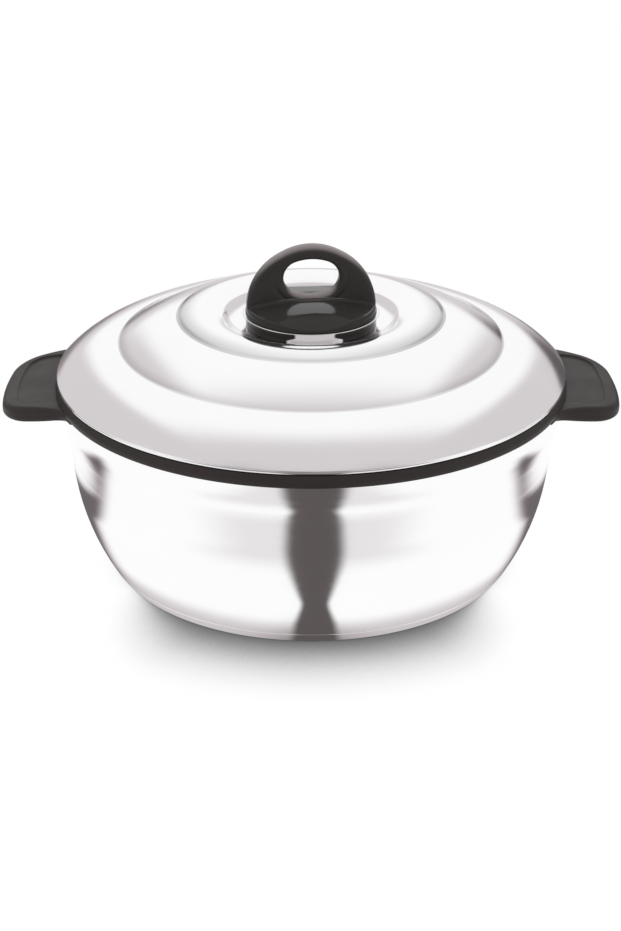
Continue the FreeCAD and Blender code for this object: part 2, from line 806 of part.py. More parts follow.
def make_knob():
    """Black knob: the disc and the loop in one moulding."""
    knob = doc.addObject("Part::MultiFuse", "knob")
    knob.Shapes = [make_knob_base(), make_knob_loop()]
    knob.Refine = True
    doc.recompute()
    turn_with_lid(knob)
    return knob


def cylinder(name, across, height, radius, length):
    piece = doc.addObject("Part::Cylinder", name)
    bind(piece, Radius=radius, Height=length, Placement__Base__x=across, Placement__Base__z=height)
    return piece


def make_pair(name, make_one):
    """Both pieces of a fastener, one on each side of the knob's middle."""
    pair = doc.addObject("Part::Compound", name)
    pair.Links = [make_one("%s_%d" % (name, i), x) for i, x in enumerate(SCREW_CENTRES, start=1)]
    turn_with_lid(pair)
    doc.recompute()
    return pair


def make_screw(name, across):
    """Pan-head screw that comes up from under the cover."""
    under = SHELL_FLOOR + " - washer_thickness"
    screw = doc.addObject("Part::Fuse", name)
    screw.Base = cylinder(name + "_head", across, under + " - screw_head_height", "screw_head_radius",
                          "screw_head_height")
    length = "2 * steel_sheet + washer_thickness + insert_length + insert_relief / 2"
    screw.Tool = cylinder(name + "_shank", across, under, "screw_radius", length)
    return screw


def make_tube(name, across, height, length, radius, bore):
    tube = doc.addObject("Part::Cut", name)
    tube.Base = cylinder(name + "_outside", across, height, radius, length)
    tube.Tool = cylinder(name + "_bore", across, height, bore, length)
    return tube


def make_washer(name, across):
    return make_tube(name, across, SHELL_FLOOR + " - washer_thickness", "washer_thickness",
                     "washer_radius", "screw_radius + screw_clearance")


def make_insert(name, across):
    """Threaded brass bush moulded into a boss of the knob."""
    return make_tube(name, across, CUP_FLOOR, "insert_length", "insert_radius",
                     "screw_radius + thread_slack")


# ---------------------------------------------------------------- assembly and export

pieces = [
    make_outer_bowl(),
    make_inner_bowl(),
    make_bowl_foam(),
    make_base_cap(),
    make_plug("bowl_port_plug", "cap_rise"),
    make_rim_collar(),
    make_lid_outer_shell(),
    make_lid_inner_shell(),
    make_lid_foam(),
    make_lid_rim_ring(),
    make_lid_gasket(),
    make_plug("lid_port_plug", PAN_FLOOR),
    make_knob_base_ring(),
    make_knob(),
    make_pair("knob_screws", make_screw),
    make_pair("knob_washers", make_washer),
    make_pair("knob_inserts", make_insert),
]
doc.recompute()

broken = [item.Label for item in doc.Objects if {"Invalid", "Error"} & set(item.State)]
broken += [piece.Label for piece in pieces if piece.Shape.isNull() or not piece.Shape.isValid()]
if broken:
    raise RuntimeError("these did not build: " + ", ".join(broken))

os.makedirs("parts", exist_ok=True)
for piece in pieces:
    piece.Shape.exportStep("parts/%s.step" % piece.Label)
    box = piece.Shape.BoundBox
    print("%-16s %d solid(s) %10.1f mm3  x %7.2f %7.2f  z %7.2f %7.2f" % (
        piece.Label, len(piece.Shape.Solids), piece.Shape.Volume, box.XMin, box.XMax, box.ZMin, box.ZMax))
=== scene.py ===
import bpy
import bmesh
import math
from mathutils import Matrix, Vector


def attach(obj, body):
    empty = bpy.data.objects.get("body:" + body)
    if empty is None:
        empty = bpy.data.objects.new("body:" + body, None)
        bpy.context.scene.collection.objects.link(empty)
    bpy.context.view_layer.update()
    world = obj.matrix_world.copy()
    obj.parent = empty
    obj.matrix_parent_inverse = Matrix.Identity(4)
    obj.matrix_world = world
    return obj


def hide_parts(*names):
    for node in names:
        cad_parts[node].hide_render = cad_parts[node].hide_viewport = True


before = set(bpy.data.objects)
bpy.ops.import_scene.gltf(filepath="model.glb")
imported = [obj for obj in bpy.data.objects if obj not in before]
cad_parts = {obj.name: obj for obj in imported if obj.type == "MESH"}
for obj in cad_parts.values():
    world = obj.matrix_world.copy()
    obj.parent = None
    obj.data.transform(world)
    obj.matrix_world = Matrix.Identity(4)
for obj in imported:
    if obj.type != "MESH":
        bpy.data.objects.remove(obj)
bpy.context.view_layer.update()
scene = bpy.context.scene
mm = 0.001
print("frame loaded:", len(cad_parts), "nodes")


# outlines: lists of corners in mm, softened and turned into fine lines of points

lineSizes = dict(same=0.004, guard=0.3, guardRoom=1.2, softMost=0.49, onAxis=0.0001)


def bendCentre(start, end, bend):  # centre of the short arc that turns left when bend is above zero
    half = (end - start) * 0.5
    away = math.sqrt(max(bend * bend - half.length_squared, 0.0))
    side = Vector((-half.y, half.x)).normalized() * away
    return start + half + (side if bend > 0 else -side)


def runPoint(start, end, bend, share):  # a point part of the way along a straight or bent run
    if not bend:
        return start.lerp(end, share)
    centre = bendCentre(start, end, bend)
    first = math.atan2(start.y - centre.y, start.x - centre.x)
    turn = math.atan2(end.y - centre.y, end.x - centre.x) - first
    turn = (turn + math.pi) % (2 * math.pi) - math.pi
    angle = first + turn * share
    return centre + Vector((math.cos(angle), math.sin(angle))) * abs(bend)


def runLength(start, end, bend):
    chord = (end - start).length
    return 2 * abs(bend) * math.asin(min(1.0, chord / 2 / abs(bend))) if bend else chord


def roundCorner(before, corner, after, steps):  # a conic that is a true arc where both legs are equal
    legs = (before - corner).normalized(), (after - corner).normalized()
    weight = math.sin(0.5 * legs[0].angle(legs[1], math.pi))
    points = []
    for i in range(steps + 1):
        t = i / steps
        a, b, c = (1 - t) ** 2, 2 * t * (1 - t) * weight, t * t
        points.append((before * a + corner * b + after * c) / (a + b + c))
    return points


def softLine(corners, closed=True, cornerSteps=5, bendStep=3.0):
    # a corner is (across, up), with how far its softening reaches, and the bend of the run that leaves it
    full = [tuple(c) + (0.0,) * (4 - len(c)) for c in corners]
    places = [Vector(c[:2]) for c in full]
    count = len(full)
    runs = []
    for i in range(count if closed else count - 1):
        a, b = places[i], places[(i + 1) % count]
        length = runLength(a, b, full[i][3])
        soft = [min(full[k][2], length * lineSizes["softMost"]) / length for k in (i, (i + 1) % count)]
        runs.append((a, b, full[i][3], length, soft[0], 1 - soft[1]))
    points = []
    for i, (a, b, bend, length, first, last) in enumerate(runs):
        if first > 0 and (closed or i > 0):
            before = runs[i - 1]
            cut = runPoint(before[0], before[1], before[2], before[5])
            points += roundCorner(cut, a, runPoint(a, b, bend, first), cornerSteps)[:-1]
        # a point close to each end of a long run keeps the run's own shading
        guard = lineSizes["guard"] / length if (last - first) * length > lineSizes["guardRoom"] else 0.0
        shares = [first, first + guard, last - guard, last] if guard else [first, last]
        if bend:
            inside = max(1, math.ceil(math.degrees(length * (last - first) / abs(bend)) / bendStep))
            low, high = (first + guard, last - guard)
            shares += [low + (high - low) * k / inside for k in range(1, inside)]
        points += [runPoint(a, b, bend, s) for s in sorted(shares)]
    clean = [points[0]]
    for p in points[1:]:
        if (p - clean[-1]).length > lineSizes["same"]:
            clean.append(p)
    if closed and (clean[0] - clean[-1]).length < lineSizes["same"]:
        clean.pop()
    return clean


def evenLine(points, count):  # the same open line with its points evenly spread
    lengths = [0.0]
    for a, b in zip(points, points[1:]):
        lengths.append(lengths[-1] + (b - a).length)
    result, k = [], 0
    for i in range(count):
        goal = lengths[-1] * i / (count - 1)
        while k < len(points) - 2 and lengths[k + 1] < goal:
            k += 1
        span = lengths[k + 1] - lengths[k]
        result.append(points[k].lerp(points[k + 1], (goal - lengths[k]) / span if span else 0.0))
    return result


def quarter(steps):  # angles over a quarter turn
    return [math.pi / 2 * k / steps for k in range(steps + 1)]


# meshes from outlines

def finishMesh(name, bm, body, nodes, material):
    bmesh.ops.recalc_face_normals(bm, faces=bm.faces)
    mesh = bpy.data.meshes.new(name)
    bm.to_mesh(mesh)
    bm.free()
    mesh.polygons.foreach_set("use_smooth", [True] * len(mesh.polygons))
    piece = bpy.data.objects.new(name, mesh)
    scene.collection.objects.link(piece)
    mesh.materials.append(material)
    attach(piece, body)
    if nodes:
        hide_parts(*nodes)
    return piece


def addSpun(bm, line, steps, closed=True):  # a section of radius and height turned about the upright axis
    angles = [2 * math.pi * k / steps for k in range(steps)]
    rings = []
    for p in line:
        if p.x < lineSizes["onAxis"]:
            rings.append([bm.verts.new((0, 0, p.y * mm))])
            continue
        across, up = p.x * mm, p.y * mm
        rings.append([bm.verts.new((across * math.cos(a), across * math.sin(a), up)) for a in angles])
    pairs = list(zip(rings, rings[1:])) + ([(rings[-1], rings[0])] if closed else [])
    for low, high in pairs:
        for k in range(steps):
            n = (k + 1) % steps
            if len(low) == 1 and len(high) == 1:
                continue
            if len(low) == 1:
                bm.faces.new((low[0], high[n], high[k]))
            elif len(high) == 1:
                bm.faces.new((low[k], low[n], high[0]))
            else:
                bm.faces.new((low[k], low[n], high[n], high[k]))


def joinRings(bm, pairs):  # faces between closed rings with the same count of points
    for a, b in pairs:
        for i in range(len(a)):
            n = (i + 1) % len(a)
            bm.faces.new((a[i], a[n], b[n], b[i]))


def spunPiece(name, corners, body, nodes, material, steps, closed=True):
    bm = bmesh.new()
    line = softLine(corners, closed)
    addSpun(bm, line, steps, closed)
    return finishMesh(name, bm, body, nodes, material)


# materials

noiseSpan = (0.25, 0.75)  # where nearly all of a noise's values lie
warmLean = (0.15, 0.045)  # how far middle greys lean towards red and blue
steelLook = dict(along=0.6, fineDetail=4.0, cloudScale=14.0, cloudDetail=2.0, cloudTone=0.985,
                 roughSpan=(0.75, 1.25), bumpDepth=0.0001, creaseShadeFront=0.35, creaseShadeEnd=0.0004)
plasticLook = dict(cloudScale=30.0, tones=(0.88, 1.1), speckDetail=2.0, roughScale=55.0,
                   roughSpan=(0.88, 1.12), bumpDepth=0.0001)


class NodeSet:  # short calls for building a node tree
    def __init__(self, tree):
        self.tree = tree

    def add(self, kind, **settings):
        node = self.tree.nodes.new(kind)
        for key, value in settings.items():
            setattr(node, key, value)
        return node

    def feed(self, node, **links):
        for key, value in links.items():
            socket = node.inputs[int(key[1:])] if key[0] == "i" and key[1:].isdigit() else node.inputs[key]
            if isinstance(value, bpy.types.NodeSocket):
                self.tree.links.new(value, socket)
            else:
                socket.default_value = value
        return node

    def maths(self, operation, a, b=0.0):
        return self.feed(self.add("ShaderNodeMath", operation=operation), i0=a, i1=b).outputs[0]

    def plus(self, a, b):
        return self.maths("ADD", a, b)

    def minus(self, a, b):
        return self.maths("SUBTRACT", a, b)

    def over(self, a, b):
        return self.maths("DIVIDE", a, b)

    def times(self, *values):
        result = values[0]
        for value in values[1:]:
            result = self.maths("MULTIPLY", result, value)
        return result

    def larger(self, a, b):
        return self.maths("MAXIMUM", a, b)

    def size(self, value):
        return self.maths("ABSOLUTE", value)

    def past(self, value, level):  # how far a value is past a level, never below zero
        return self.larger(self.minus(value, level), 0.0)

    def reach(self, x, y):  # distance from the upright axis
        return self.maths("SQRT", self.plus(self.times(x, x), self.times(y, y)))

    def degrees(self, a, b):
        return self.maths("DEGREES", self.maths("ARCTAN2", a, b))

    def ease(self, value, start, end, low=0.0, high=1.0):  # smooth step from start to end
        node = self.add("ShaderNodeMapRange", interpolation_type="SMOOTHSTEP")
        return self.feed(node, Value=value, i1=start, i2=end, i3=low, i4=high).outputs[0]

    def shaded(self, shade, tone, *masks):  # brought down to a share of itself where all masks are 1
        return self.times(shade, self.ease(self.times(*masks), 0.0, 1.0, 1.0, tone))

    def parts(self, vector):
        return self.feed(self.add("ShaderNodeSeparateXYZ"), Vector=vector).outputs

    def noise(self, scale, detail=3.0, place=None):
        node = self.add("ShaderNodeTexNoise")
        return self.feed(node, Scale=scale, Detail=detail, Vector=place or self.place).outputs["Fac"]

    def spread(self, value, low=0.0, high=1.0):  # a noise laid over a range
        node = self.add("ShaderNodeMapRange")
        return self.feed(node, Value=value, i1=noiseSpan[0], i2=noiseSpan[1], i3=low, i4=high).outputs[0]

    def warm(self, shade):  # greys lean a little towards rose, white and black stay as they are
        left = self.minus(1.0, shade)
        red, blue = [self.times(shade, self.plus(self.times(left, lean), 1.0)) for lean in warmLean]
        return self.feed(self.add("ShaderNodeCombineXYZ"), X=red, Y=shade, Z=blue).outputs[0]

    def mix(self, share, a, b):
        return self.feed(self.add("ShaderNodeMix", data_type="RGBA"), i0=share, i6=a, i7=b).outputs[2]


class Finish(NodeSet):
    def __init__(self, name, **values):
        self.material = bpy.data.materials.new(name)
        self.material.use_nodes = True
        NodeSet.__init__(self, self.material.node_tree)
        self.shader = self.tree.nodes["Principled BSDF"]
        for key, value in values.items():
            self.shader.inputs[key].default_value = value
        self.place = self.add("ShaderNodeTexCoord").outputs["Object"]

    def into(self, key, value):
        self.tree.links.new(value, self.shader.inputs[key])

    def turned(self, along, across):  # coordinates that run round the upright axis, out from it and up
        x, y, z = self.parts(self.place)
        angle = self.maths("ARCTAN2", y, x)
        joined = self.add("ShaderNodeCombineXYZ")
        self.feed(joined, X=self.times(self.maths("SINE", angle), along),
                  Y=self.times(self.plus(self.reach(x, y), z), across),
                  Z=self.times(self.maths("COSINE", angle), along))
        return joined.outputs[0]

    def roughen(self, grain, rough, span):
        self.into("Roughness", self.spread(grain, rough * span[0], rough * span[1]))

    def bump(self, height, strength, distance):
        node = self.feed(self.add("ShaderNodeBump"), Height=height, Strength=strength, Distance=distance)
        self.into("Normal", node.outputs["Normal"])


def toned(colour, share=1.0):  # a colour made darker or paler
    return tuple(c * share for c in colour) + (1,)


def polishedSteel(name, tint, rough, lines, across, paintedCreaseShade=()):
    look = steelLook
    finish = Finish(name, Metallic=1.0)
    polish = finish.turned(look["along"], across)  # buffing marks run round the piece
    fine = finish.noise(1.0, look["fineDetail"], polish)
    cloud = finish.spread(finish.noise(look["cloudScale"], look["cloudDetail"]))
    colour = finish.mix(cloud, toned(tint, look["cloudTone"]), toned(tint))
    # painted shade: the lid's colour is darkened in a band just inside each pressed step
    if paintedCreaseShade:
        x, y = finish.parts(finish.place)[:2]
        radius = finish.reach(x, y)
        side = finish.ease(finish.over(finish.size(x), radius), 0.0, 1.0, look["creaseShadeFront"], 1.0)
        for edge, wide, most in paintedCreaseShade:  # painted shade: darker just inside each pressed step, fainter in front than at the sides
            band = finish.times(finish.ease(radius, edge - wide, edge),
                                finish.ease(radius, edge + look["creaseShadeEnd"], edge))
            colour = finish.mix(finish.times(band, side, most), colour, (0.0, 0.0, 0.0, 1))
    finish.into("Base Color", colour)
    finish.roughen(fine, rough, look["roughSpan"])
    finish.bump(fine, lines, look["bumpDepth"])
    return finish.material


def paintedDarkChrome(name, s):  # painted reflection: dark all round to stand in for mirrored dark surroundings, but for a bright patch in front and the lip
    finish = Finish(name, Metallic=1.0)
    x, y, z = finish.parts(finish.place)
    off = finish.size(finish.minus(finish.degrees(x, finish.times(y, -1.0)), s["middle"]))
    half = finish.ease(z, *s["spread"], *s["clear"])
    clear = finish.ease(finish.minus(off, half), *s["clearEdge"])
    clear = finish.larger(clear, finish.ease(z, *s["lip"]))
    # painted reflection: the dark and bright colours stand in for what the chrome mirrors
    finish.into("Base Color", finish.mix(clear, toned(s["paintedDark"]), toned(s["bright"])))
    finish.roughen(finish.noise(s["grain"]), s["rough"], s["roughSpan"])
    return finish.material


def mouldedPlastic(name, colour, rough, grain, scale, gloss=0.5, paintedSheen=None, matt=None):
    look = plasticLook
    finish = Finish(name)
    finish.shader.inputs["Specular IOR Level"].default_value = gloss
    cloud = finish.spread(finish.noise(look["cloudScale"]))
    tone = finish.mix(cloud, *[toned(colour, share) for share in look["tones"]])
    if paintedSheen:  # painted highlight: paler where it faces up near the crown, a sheen painted into the colour
        facing = finish.parts(finish.add("ShaderNodeNewGeometry").outputs["Normal"])[2]
        above = finish.parts(finish.place)[2]
        share = finish.times(finish.ease(facing, *paintedSheen["facing"]), finish.ease(above, *paintedSheen["above"]))
        tone = finish.mix(share, tone, toned(paintedSheen["tone"]))
    if matt:  # duller on the thumb flats and round the edge
        x, y = finish.parts(finish.place)[:2]
        turned = finish.minus(finish.times(y, matt["turn"][0]), finish.times(x, matt["turn"][1]))
        share = finish.larger(finish.ease(finish.size(turned), *matt["flat"]),
                              finish.ease(finish.reach(x, y), *matt["edge"]))
        finish.into("Specular IOR Level", finish.ease(share, 0.0, 1.0, gloss, matt["gloss"]))
    finish.into("Base Color", tone)
    finish.roughen(finish.noise(look["roughScale"]), rough, look["roughSpan"])
    finish.bump(finish.noise(scale, look["speckDetail"]), grain, look["bumpDepth"])
    return finish.material


finishes = {
    "bowl": dict(tint=(0.985, 0.985, 0.985), rough=0.13, lines=0.05, across=900.0),
    "lid": dict(tint=(0.955, 0.955, 0.955), rough=0.12, lines=0.04, across=900.0,
                paintedCreaseShade=((0.0708, 0.012, 0.42), (0.1018, 0.006, 0.28))),
    "liner": dict(tint=(0.76, 0.755, 0.745), rough=0.3, lines=0.25, across=1500.0),
    "cup": dict(bright=(0.86, 0.86, 0.86), paintedDark=(0.032, 0.029, 0.0285), rough=0.08, roughSpan=(0.8, 1.2),
                grain=900.0, middle=3.5, clear=(17.0, 24.5), clearEdge=(1.2, -1.2),
                spread=(0.1356, 0.1336), lip=(0.1380, 0.1383)),
    "collar": dict(colour=(0.033, 0.0265, 0.0255), rough=0.42, grain=0.12, scale=2600.0, gloss=0.16),
    "knob": dict(colour=(0.036, 0.0325, 0.0315), rough=0.16, grain=0.02, scale=900.0, gloss=0.55,
                 matt=dict(turn=(0.996, 0.087), flat=(0.0204, 0.0210), edge=(0.0330, 0.0338), gloss=0.08)),
    "loop": dict(colour=(0.036, 0.0320, 0.0308), rough=0.3, grain=0.02, scale=900.0, gloss=0.18,
                 paintedSheen=dict(tone=(0.235, 0.205, 0.205), facing=(0.35, 0.88), above=(0.1455, 0.147))),
    "seal": dict(colour=(0.03, 0.029, 0.028), rough=0.45, grain=0.1, scale=1800.0),
    "plug": dict(colour=(0.028, 0.027, 0.027), rough=0.4, grain=0.1, scale=1800.0),
    "gasket": dict(colour=(0.5, 0.5, 0.49), rough=0.5, grain=0.06, scale=1200.0),
}
bowlSteel = polishedSteel("bowlSteel", **finishes["bowl"])
lidSteel = polishedSteel("lidSteel", **finishes["lid"])
linerSteel = polishedSteel("linerSteel", **finishes["liner"])
cupChrome = paintedDarkChrome("cupChrome", finishes["cup"])
collarPlastic = mouldedPlastic("collarPlastic", **finishes["collar"])
knobPlastic = mouldedPlastic("knobPlastic", **finishes["knob"])
loopPlastic = mouldedPlastic("loopPlastic", **finishes["loop"])
sealPlastic = mouldedPlastic("sealPlastic", **finishes["seal"])
plugPlastic = mouldedPlastic("plugPlastic", **finishes["plug"])
gasketSilicone = mouldedPlastic("gasketSilicone", **finishes["gasket"])
print("finishes made")


# bowl and foot

bowlSizes = dict(seamRadius=112.0, seamHeight=6.0, waistRadius=128.4, waistHeight=61.0, bellyBend=128.0,
                 swellRadius=130.5, swellHeight=80.0, swellBend=116.0, flareBend=80.0,
                 shoulderRadius=133.2, shoulderHeight=88.2, neckBend=50.0,
                 neckRadius=134.4, neckHeight=98.6, lip=3.0, sheet=0.6, flange=97.0, steps=256)
footSizes = dict(radius=107.7, face=7.7, bend=28.0, rise=3.0, slope=3.0, hole=9.0, steps=256)
linerSizes = dict(mouth=119.0, mouthBend=2.0, brim=8.0, top=105.0, heelRadius=113.5, heelHeight=46.0,
                  heelBend=34.5, floorRadius=80.0, floorHeight=14.0, sheet=0.6, steps=192)
plugSizes = dict(dome=6.5, domeLow=1.4, step=7.2, stepLow=1.0, dip=8.6, ridge=9.2, ridgeLow=1.35,
                 brim=12.0, brimLow=1.1, stem=9.0, stemHigh=4.0, steps=64)


def makeBowlShell(s):
    t = s["sheet"]
    return spunPiece("bowlShell", [
        (s["flange"], s["seamHeight"], 0.1),
        (s["seamRadius"], s["seamHeight"], 0.45, s["bellyBend"]),
        (s["waistRadius"], s["waistHeight"], 3.0, -s["swellBend"]),
        (s["swellRadius"], s["swellHeight"], 3.0, -s["flareBend"]),
        (s["shoulderRadius"], s["shoulderHeight"], 4.0, s["neckBend"]),
        (s["neckRadius"], s["neckHeight"]),
        (s["neckRadius"], s["neckHeight"] + s["lip"], 0.2),
        (s["neckRadius"] - t, s["neckHeight"] + s["lip"], 0.2),
        (s["neckRadius"] - t, s["neckHeight"], 0, -s["neckBend"]),
        (s["shoulderRadius"] - t, s["shoulderHeight"], 4.0, s["flareBend"]),
        (s["swellRadius"] - t, s["swellHeight"], 3.0, s["swellBend"]),
        (s["waistRadius"] - t, s["waistHeight"], 3.0, -s["bellyBend"]),
        (s["seamRadius"] - t / 2, s["seamHeight"] + t, 0.2),
        (s["flange"], s["seamHeight"] + t, 0.1),
    ], "base", ["outer_bowl"], bowlSteel, s["steps"])


def makeFoot(s, bowl):
    inner, t = s["radius"] - s["face"] - s["slope"], bowl["sheet"]
    return spunPiece("footCap", [
        (s["hole"], s["rise"], 0.2),
        (inner, s["rise"], 0.8),
        (s["radius"] - s["face"], 0.0, 0.8),
        (s["radius"], 0.0, 0.9, s["bend"]),
        (bowl["seamRadius"], bowl["seamHeight"], 0.35),
        (bowl["seamRadius"] - t, bowl["seamHeight"], 0.2, -s["bend"]),
        (s["radius"] - t / 2, t, 0.5),
        (s["radius"] - s["face"] + t / 2, t, 0.5),
        (inner + t / 2, s["rise"] + t, 0.5),
        (s["hole"], s["rise"] + t, 0.2),
    ], "base", ["base_cap"], bowlSteel, s["steps"])


def makeLiner(s):
    t, top = s["sheet"], s["top"]
    return spunPiece("innerBowl", [
        (0, s["floorHeight"]),
        (s["floorRadius"], s["floorHeight"], 2.0, s["heelBend"]),
        (s["heelRadius"] + t, s["heelHeight"], 2.0),
        (s["mouth"] + t, top - s["mouthBend"], 0.5, -(s["mouthBend"] - t)),
        (s["mouth"] + s["mouthBend"], top - t),
        (s["mouth"] + s["brim"], top - t, 0.15),
        (s["mouth"] + s["brim"], top, 0.15),
        (s["mouth"] + s["mouthBend"], top, 0.6, s["mouthBend"]),
        (s["mouth"], top - s["mouthBend"], 0.6),
        (s["heelRadius"], s["heelHeight"], 4.0, -(s["heelBend"] - t)),
        (s["floorRadius"], s["floorHeight"] + t, 4.0),
        (0, s["floorHeight"] + t),
    ], "base", ["inner_bowl"], linerSteel, s["steps"], closed=False)


def makePlug(name, s, floor, body, node):  # domed head, a brim under the sheet and a stem through the hole
    return spunPiece(name, [
        (0, floor - s["domeLow"]),
        (s["dome"], floor - s["domeLow"], 0.8),
        (s["step"], floor - s["stepLow"], 0.4),
        (s["dip"], floor - s["stepLow"], 0.4),
        (s["ridge"], floor - s["ridgeLow"], 0.4),
        (s["brim"], floor - s["brimLow"], 0.6),
        (s["brim"], floor, 0.3),
        (s["stem"], floor, 0.2),
        (s["stem"], floor + s["stemHigh"], 0.6),
        (0, floor + s["stemHigh"]),
    ], body, [node], plugPlastic, s["steps"], closed=False)


makeBowlShell(bowlSizes)
makeFoot(footSizes, bowlSizes)
makeLiner(linerSizes)
makePlug("bowlPlug", plugSizes, footSizes["rise"], "base", "bowl_port_plug")
print("bowl, foot and liner made")


# collar and grips

collarSizes = dict(bore=121.0, radius=135.8, low=98.6, high=105.0, shoulder=3.6, slope=1.2, edge=1.0,
                   rebate=127.0, rebateDeep=0.6, steps=256)
gripSizes = dict(root=(123.57, 55.6), neck=(127.6, 46.1), endWidth=33.6, reach=163.9, flare=7.66,
                 corner=12.4, topIn=(118.0, 99.8), topOut=(164.9, 94.9), topBend=123.0,
                 underIn=(118.0, 97.7), underOut=(164.9, 88.5), underBend=178.0,
                 underEdge=2.4, underSteps=6, wallShares=(0.33, 0.66),
                 topEdge=2.4, topSteps=7, topMargin=0.4,
                 panelWidth=34.0, panelMargin=7.8, panelCorner=10.0, panelDepth=0.95,
                 panelFall=((-0.5, 0.0), (-0.15, 0.03), (0.15, 0.18), (0.45, 0.42), (0.75, 0.57),
                            (1.1, 0.6)))


def makeCollar(s):
    return spunPiece("collarRing", [
        (s["bore"], s["low"], 0.2),
        (s["radius"] - s["edge"] / 2, s["low"], 0.3),
        (s["radius"], s["low"] + s["edge"], 0.6),
        (s["radius"], s["high"] - s["shoulder"], 0.7),
        (s["radius"] - s["slope"], s["high"], 0.5),
        (s["rebate"], s["high"], 0.15),
        (s["rebate"], s["high"] - s["rebateDeep"], 0.05),
        (s["bore"], s["high"] - s["rebateDeep"], 0.1),
    ], "base", ["rim_collar"], collarPlastic, s["steps"])


def gripPlan(s):  # from the front root round the end to the back root, in three even runs
    far = math.sqrt(s["reach"] ** 2 - s["endWidth"] ** 2)
    line = softLine([
        (s["root"][0], -s["root"][1]),
        (s["neck"][0], -s["neck"][1], s["flare"]),
        (far, -s["endWidth"], s["corner"], s["reach"]),
        (far, s["endWidth"], s["corner"]),
        (s["neck"][0], s["neck"][1], s["flare"]),
        (s["root"][0], s["root"][1]),
    ], closed=False, cornerSteps=12)
    return threeRuns(line, Vector((far, -s["endWidth"])))


def threeRuns(line, corner, sideCount=34, endCount=31):
    nearest = min(range(len(line)), key=lambda i: (line[i] - corner).length)
    opposite = len(line) - 1 - nearest
    front = evenLine(line[:nearest + 1], sideCount)
    end = evenLine(line[nearest:opposite + 1], endCount)
    back = evenLine(line[opposite:], sideCount)
    return front, end, back


def panelPlan(s):
    reach = s["reach"] - s["panelMargin"]
    far = math.sqrt(reach ** 2 - s["panelWidth"] ** 2)
    line = softLine([
        (s["root"][0], -s["panelWidth"]),
        (far, -s["panelWidth"], s["panelCorner"], reach),
        (far, s["panelWidth"], s["panelCorner"]),
        (s["root"][0], s["panelWidth"]),
    ], closed=False, cornerSteps=12)
    return threeRuns(line, Vector((far, -s["panelWidth"])))


def heightAt(x, inner, outer, bend):
    a, b = Vector(inner), Vector(outer)
    centre = bendCentre(a, b, bend)
    rise = math.sqrt(max(bend * bend - (x - centre.x) ** 2, 0.0))
    return centre.y + rise if centre.y < min(a.y, b.y) else centre.y - rise


def insetRuns(runs, distance):  # the whole line moved inwards
    line = runs[0] + runs[1][1:] + runs[2][1:]
    moved = []
    for i, p in enumerate(line):
        along = (line[min(i + 1, len(line) - 1)] - line[max(i - 1, 0)]).normalized()
        moved.append(p + Vector((-along.y, along.x)) * distance)
    return moved


def patchRows(line, sideCount, endCount):  # a four-sided net between the two sides, the end and the root
    front = line[:sideCount]
    end = line[sideCount - 1:sideCount + endCount - 1]
    back = line[sideCount + endCount - 2:][::-1]
    root = [front[0].lerp(back[0], k / (endCount - 1)) for k in range(endCount)]
    rows = []
    for i in range(sideCount):
        u = i / (sideCount - 1)
        row = []
        for k in range(endCount):
            v = k / (endCount - 1)
            across = front[i].lerp(back[i], v)
            along = root[k].lerp(end[k], u)
            flat = front[0].lerp(back[0], v).lerp(end[0].lerp(end[-1], v), u)
            row.append(across + along - flat)
        rows.append(row)
    return rows


